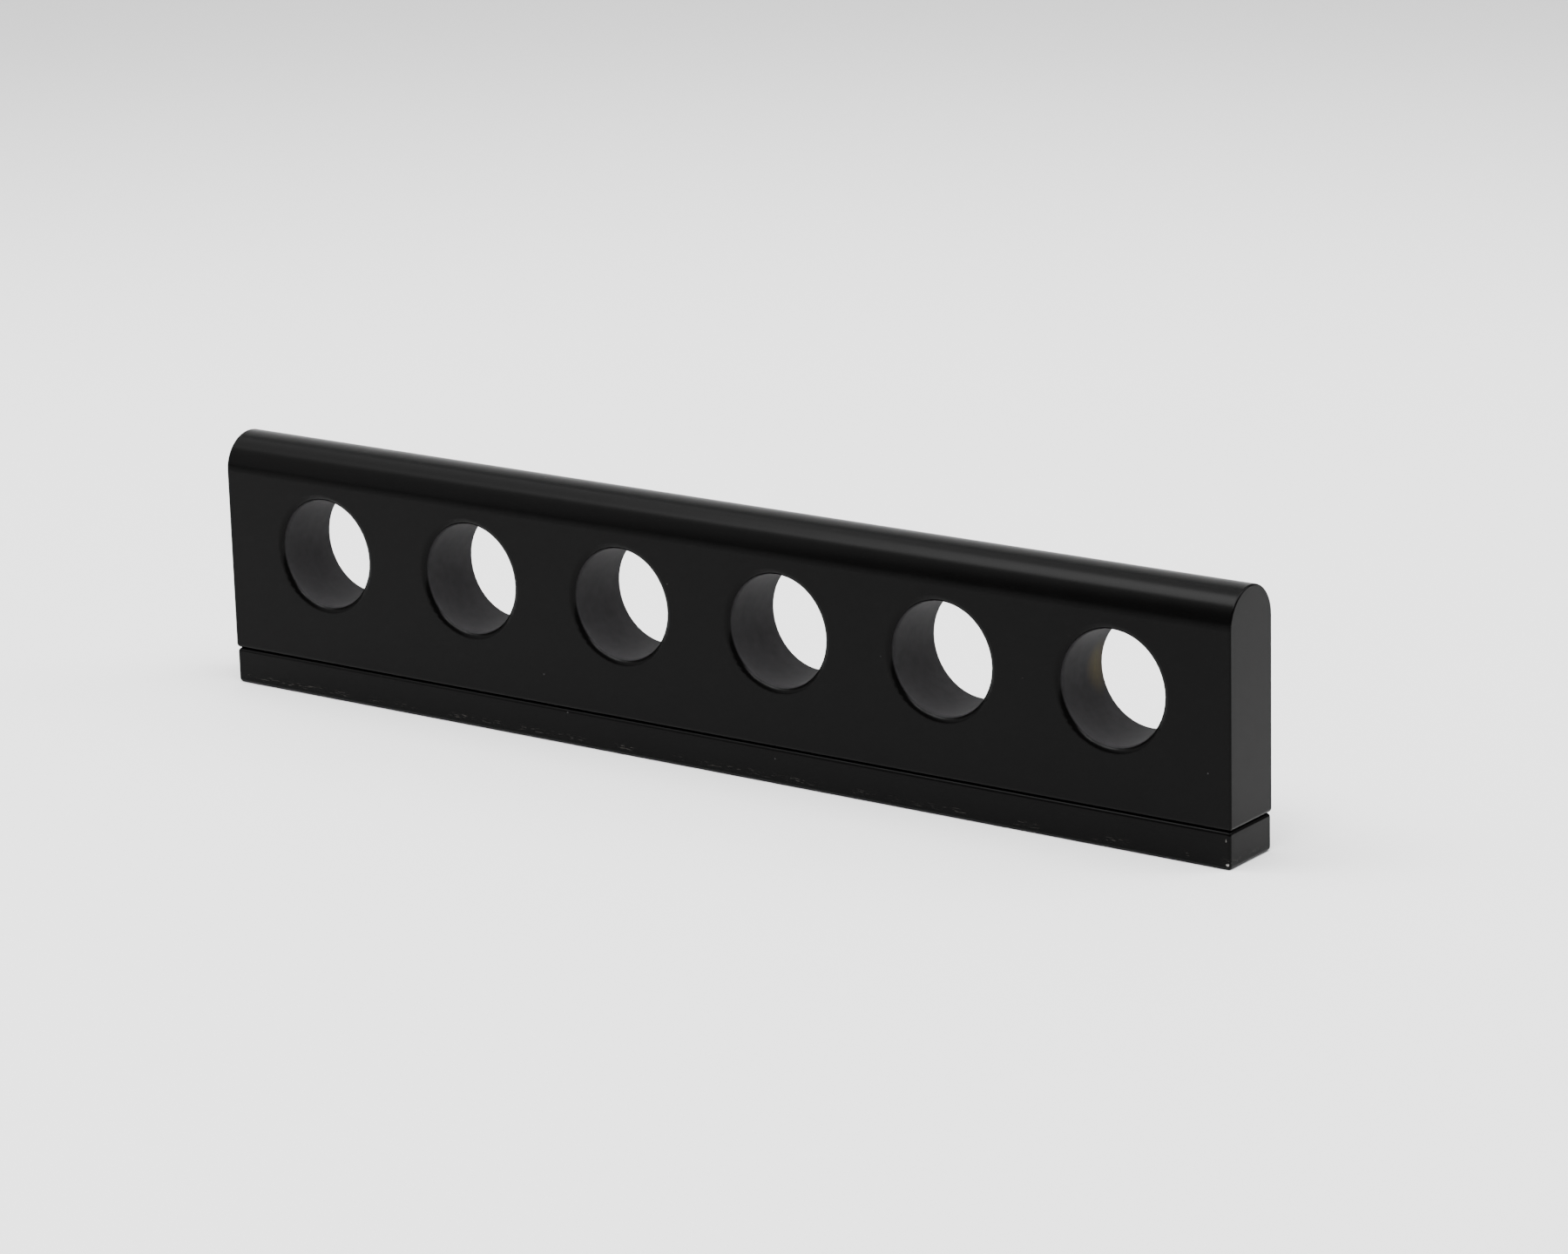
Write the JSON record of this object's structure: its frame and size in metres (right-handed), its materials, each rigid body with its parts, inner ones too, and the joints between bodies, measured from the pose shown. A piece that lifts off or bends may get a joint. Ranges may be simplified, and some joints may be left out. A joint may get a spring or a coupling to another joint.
{
  "type": "wall cue rack",
  "caption": "Black wall rack for billiard cues: a round-nosed bar with a row of through-holes, held on a thin strip that is screwed to the wall.",
  "frame": {"origin": "centre of the wall strip's wall face, at the bottom centre of the bounding box", "axes": "+X along the rack; Y along the cue holes, with -Y facing up on the wall; +Z away from the wall"},
  "size_m": [0.381, 0.023, 0.083],
  "materials": {
    "bar_lacquer": "satin black lacquer",
    "strip_lacquer": "satin black lacquer",
    "stud_steel": "turned",
    "screw_zinc": "zinc plated",
    "sleeve_brass": "turned",
    "grub_steel": "black oxide"
  },
  "bodies": {
    "wall_side": {"wall_strip": "strip_lacquer", "left_stud": "stud_steel", "right_stud": "stud_steel", "left_stud_screw": "screw_zinc", "right_stud_screw": "screw_zinc"},
    "holder": {"holder_bar": "bar_lacquer", "left_sleeve": "sleeve_brass", "right_sleeve": "sleeve_brass", "left_grub_screw": "grub_steel", "right_grub_screw": "grub_steel"}
  },
  "joints": [
    {"name": "holder_slide", "type": "slide", "parent": "wall_side", "child": "holder", "axis": [0, 0, 1], "range_m": [0, 0.03]}
  ]
}
